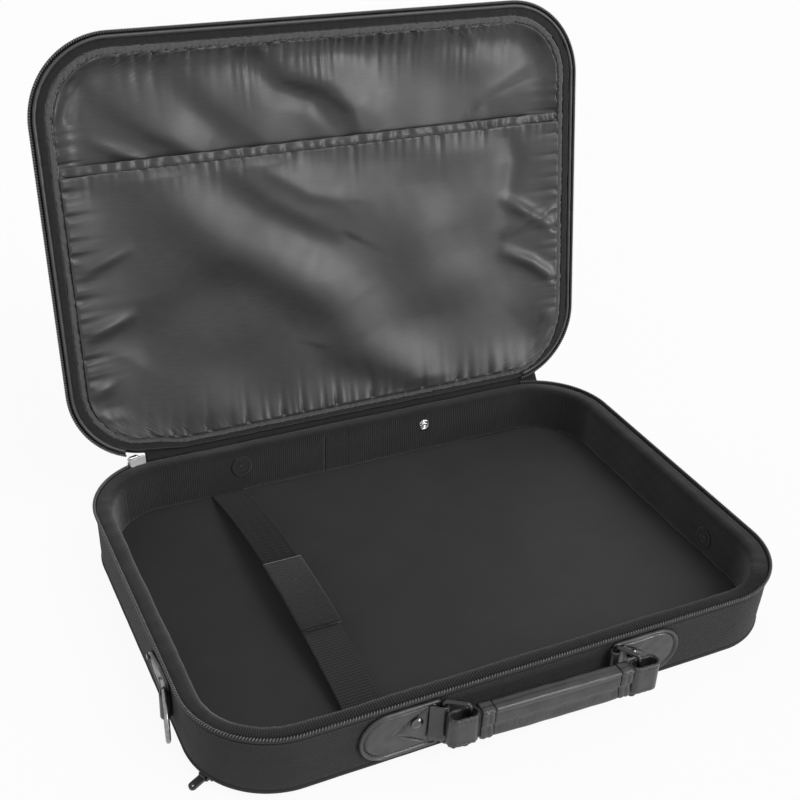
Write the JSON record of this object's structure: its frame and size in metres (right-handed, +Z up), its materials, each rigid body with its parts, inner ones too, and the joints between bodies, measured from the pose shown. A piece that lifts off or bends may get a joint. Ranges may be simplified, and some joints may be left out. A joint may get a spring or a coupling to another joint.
{
  "type": "laptop hard case",
  "caption": "Padded fabric-covered laptop case with rounded corners, a zip-closed hinged lid, a satin lid pocket, a swinging front handle, side rings and a hold-down strap.",
  "frame": {"origin": "middle of the flat underside the case lies on", "axes": "+Z up, +X along the long side to the right, +Y from the handle side to the hinge side"},
  "size_m": [0.4408, 0.3988, 0.3595],
  "materials": {
    "cover_fabric": "dark grey polyester twill, matt",
    "base_fabric": "dark grey polyester twill, matt",
    "board": "pressed fibre board",
    "wall_lining": "finely ribbed black-grey lining over foam",
    "floor_nylon": "smooth dark nylon over foam",
    "piping_vinyl": "dark piping",
    "zip_tape": "black zip tape",
    "zip_coil": "black nylon coil",
    "black_zip_metal": "black painted",
    "nickel": "nickel plate",
    "leatherette": "dark grey leatherette, low sheen",
    "rivet_metal": "dark lacquered",
    "black_enamel": "gloss black enamel",
    "grey_wire": "grey lacquered wire",
    "webbing": "woven polyester webbing",
    "fleece": "hook and loop pad",
    "satin": "grey satin",
    "foam": "soft foam sheet",
    "band_fleece": "brushed band"
  },
  "bodies": {
    "tray": {"tray_wall_cover": "cover_fabric", "tray_wall_board": "board", "tray_wall_padding": "wall_lining", "tray_base_piping": "piping_vinyl", "tray_base_cover": "base_fabric", "tray_base_board": "board", "tray_floor_pad": "floor_nylon", "tray_zip_tape": "zip_tape", "tray_zip_chain": "zip_coil", "hinge_strip": "cover_fabric", "rear_wall_stud": "nickel", "rear_wall_disc": "wall_lining", "side_wall_discs": "wall_lining", "base_pocket": "base_fabric", "base_pocket_zip": "zip_coil", "handle_patch_left": "leatherette", "handle_patch_right": "leatherette", "handle_rivet_left": "rivet_metal", "handle_rivet_right": "rivet_metal", "side_patch_left": "leatherette", "side_patch_right": "leatherette", "side_rivets": "rivet_metal", "strap_front": "webbing"},
    "lid": {"lid_wall_cover": "cover_fabric", "lid_face_cover": "cover_fabric", "lid_face_piping": "piping_vinyl", "lid_board": "board", "lid_foam": "foam", "lid_wall_padding": "wall_lining", "lid_rim_piping": "satin", "lid_rim_band": "band_fleece", "lid_lining": "satin", "lid_pocket_panel": "satin", "lid_pocket_hem": "satin", "lid_zip_tape": "zip_tape", "lid_zip_chain": "zip_coil"},
    "handle_ring_left": {"handle_ring_left": "black_enamel"},
    "handle_ring_right": {"handle_ring_right": "black_enamel"},
    "handle": {"handle_strap": "leatherette", "handle_grip": "leatherette", "handle_collar_left": "leatherette", "handle_collar_right": "leatherette"},
    "side_ring_left": {"side_ring_left": "grey_wire"},
    "side_ring_right": {"side_ring_right": "grey_wire"},
    "rear_strap": {"strap_rear": "webbing", "strap_pad": "fleece"},
    "zip_slider": {"zip_slider": "nickel"},
    "zip_pull": {"zip_pull": "nickel"},
    "pocket_slider": {"base_pocket_slider": "black_zip_metal"},
    "pocket_pull": {"base_pocket_pull": "black_zip_metal"}
  },
  "joints": [
    {"name": "lid_hinge", "type": "hinge", "parent": "tray", "child": "lid", "pos_m": [0, 0.15145, 0.0589], "axis": [-1, 0, 0], "range_deg": [-100.15, 30], "deforming": ["hinge_strip"]},
    {"name": "handle_ring_left_swing", "type": "hinge", "parent": "tray", "child": "handle_ring_left", "pos_m": [-0.067, -0.156, 0.0338], "axis": [0, 0, 1], "range_deg": [-89, 1]},
    {"name": "handle_swing", "type": "hinge", "parent": "handle_ring_left", "child": "handle", "pos_m": [-0.05373, -0.16495, 0.0338], "axis": [0, 0, 1], "range_deg": [-1.05, 93.45]},
    {"name": "handle_ring_right_swing", "type": "hinge", "parent": "tray", "child": "handle_ring_right", "pos_m": [0.055, -0.156, 0.0338], "axis": [0, 0, 1], "range_deg": [-89, 1]},
    {"name": "side_ring_left_swing", "type": "hinge", "parent": "tray", "child": "side_ring_left", "pos_m": [-0.21366, -0.076, 0.031], "axis": [0, 0, -1], "range_deg": [0, 140]},
    {"name": "side_ring_right_swing", "type": "hinge", "parent": "tray", "child": "side_ring_right", "pos_m": [0.21366, -0.076, 0.031], "axis": [0, 0, 1], "range_deg": [0, 140]},
    {"name": "rear_strap_lift", "type": "hinge", "parent": "tray", "child": "rear_strap", "pos_m": [-0.101, 0.13678, 0.018], "axis": [-1, 0, 0], "range_deg": [0, 76]},
    {"name": "zip_slider_run", "type": "hinge", "parent": "tray", "child": "zip_slider", "pos_m": [-0.153, 0.0945, 0.0555], "axis": [0, 0, 1], "range_deg": [0, 65]},
    {"name": "zip_pull_swing", "type": "hinge", "parent": "zip_slider", "child": "zip_pull", "pos_m": [-0.16817, 0.15534, 0.0555], "axis": [-0.9703, -0.2419, 0], "range_deg": [-100, 3]},
    {"name": "pocket_slider_run", "type": "hinge", "parent": "tray", "child": "pocket_slider", "pos_m": [-0.153, -0.0945, 0.004], "axis": [0, 0, 1], "range_deg": [-5, 60]},
    {"name": "pocket_pull_swing", "type": "hinge", "parent": "pocket_slider", "child": "pocket_pull", "pos_m": [-0.20297, -0.11469, 0.004], "axis": [0.3746, -0.9272, 0], "range_deg": [-64, 3]}
  ],
  "couplings": [
    {"joint": "handle_swing", "follows": "handle_ring_left_swing", "ratio": -1.05},
    {"joint": "handle_ring_right_swing", "follows": "handle_ring_left_swing", "ratio": 1}
  ]
}
